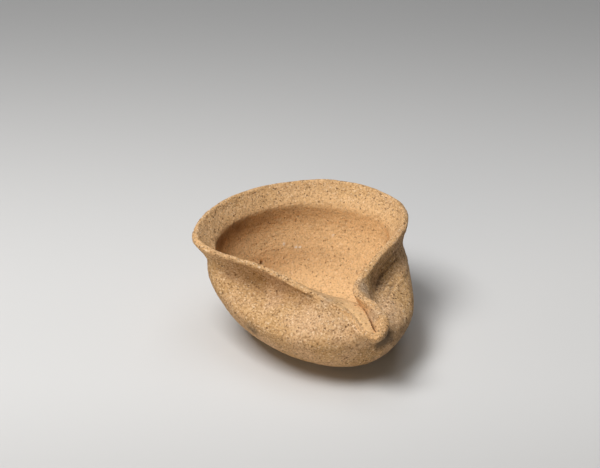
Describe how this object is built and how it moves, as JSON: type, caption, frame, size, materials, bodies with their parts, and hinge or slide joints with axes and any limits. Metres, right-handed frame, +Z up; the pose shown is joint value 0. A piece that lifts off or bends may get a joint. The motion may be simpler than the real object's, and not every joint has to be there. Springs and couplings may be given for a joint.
{
  "type": "oil lamp",
  "caption": "Hand-folded terracotta oil lamp: round-bottomed bowl with an everted rim, pinched in at the front into a low nozzle with a narrow wick slit.",
  "frame": {"origin": "on the bowl axis, in the plane of the flat foot", "axes": "+Z up along the bowl axis, -Y toward the nozzle, +X to the right of the nozzle seen from above with the nozzle pointing down"},
  "size_m": [0.0832, 0.0948, 0.0413],
  "materials": {
    "terracotta": "unglazed, matt, pitted and slightly dirty buff clay"
  },
  "bodies": {
    "root": {"lamp_body": "terracotta"}
  },
  "joints": []
}
